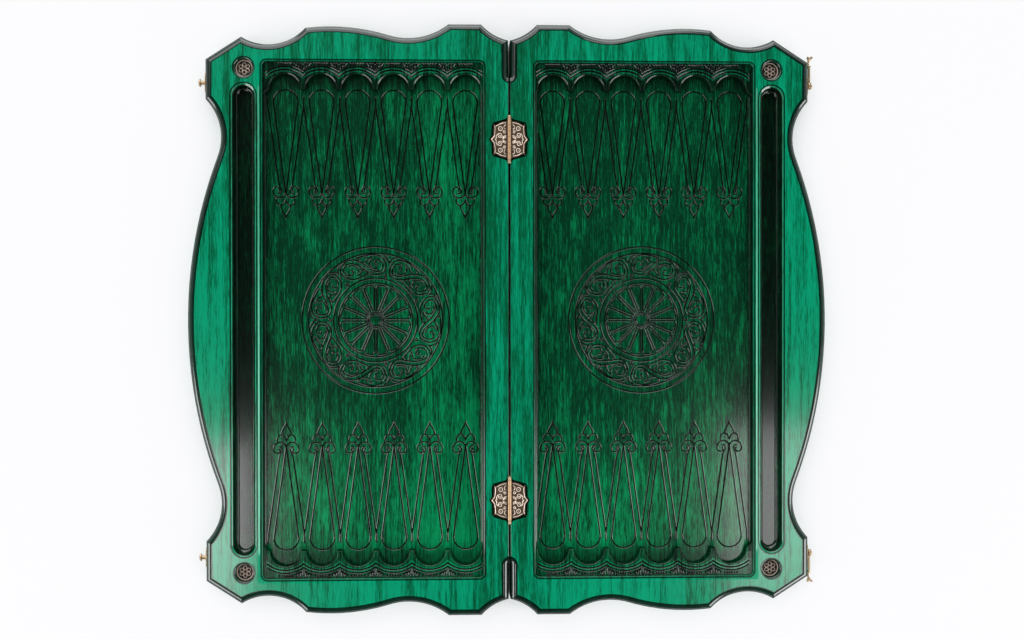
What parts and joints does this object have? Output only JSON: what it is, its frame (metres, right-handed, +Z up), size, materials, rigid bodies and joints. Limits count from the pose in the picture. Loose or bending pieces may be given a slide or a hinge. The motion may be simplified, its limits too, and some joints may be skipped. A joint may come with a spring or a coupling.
{
  "type": "folding backgammon board",
  "caption": "Folding carved wooden backgammon board laid open, with arched points, checker troughs, two hinges joining the halves and two hook catches on the outer sides.",
  "frame": {"origin": "on the table, under the middle of the hinge line, with the board open and flat", "axes": "+X across the two halves, +Y along the hinge line, +Z up out of the playing side"},
  "size_m": [0.648, 0.6, 0.0302],
  "materials": {
    "stained_wood": "green stained and lacquered, with dark patina in the carving",
    "bronzed_brass": "pinkish bronze, satin",
    "brass": "polished, lightly worn"
  },
  "bodies": {
    "right_half": {"right_hinge_stave": "stained_wood", "right_inner_stave": "stained_wood", "right_outer_stave": "stained_wood", "right_trough_stave": "stained_wood", "right_upper_medal": "brass", "right_lower_medal": "brass", "upper_hinge_right_leaf": "bronzed_brass", "upper_hinge_right_screws": "brass", "upper_hinge_pin": "bronzed_brass", "upper_hook_plate": "brass", "upper_hook_plate_nails": "brass", "upper_hook_rivet": "brass", "lower_hinge_right_leaf": "bronzed_brass", "lower_hinge_right_screws": "brass", "lower_hinge_pin": "bronzed_brass", "lower_hook_plate": "brass", "lower_hook_plate_nails": "brass", "lower_hook_rivet": "brass"},
    "left_half": {"left_hinge_stave": "stained_wood", "left_inner_stave": "stained_wood", "left_outer_stave": "stained_wood", "left_trough_stave": "stained_wood", "left_upper_medal": "brass", "left_lower_medal": "brass", "upper_hinge_left_leaf": "bronzed_brass", "upper_hinge_left_screws": "brass", "upper_stud_plate": "brass", "upper_stud_plate_nails": "brass", "upper_stud": "brass", "lower_hinge_left_leaf": "bronzed_brass", "lower_hinge_left_screws": "brass", "lower_stud_plate": "brass", "lower_stud_plate_nails": "brass", "lower_stud": "brass"},
    "upper_hook": {"upper_hook": "brass"},
    "lower_hook": {"lower_hook": "brass"}
  },
  "joints": [
    {"name": "fold", "type": "hinge", "parent": "right_half", "child": "left_half", "pos_m": [0, 0, 0.02815], "axis": [0, 1, 0], "range_deg": [0, 180]},
    {"name": "upper_hook_turn", "type": "hinge", "parent": "right_half", "child": "upper_hook", "pos_m": [0.3088, 0.24, 0.01665], "axis": [1, 0, 0], "range_deg": [-28, 208]},
    {"name": "lower_hook_turn", "type": "hinge", "parent": "right_half", "child": "lower_hook", "pos_m": [0.3088, -0.24, 0.01665], "axis": [-1, 0, 0], "range_deg": [-28, 208]}
  ]
}
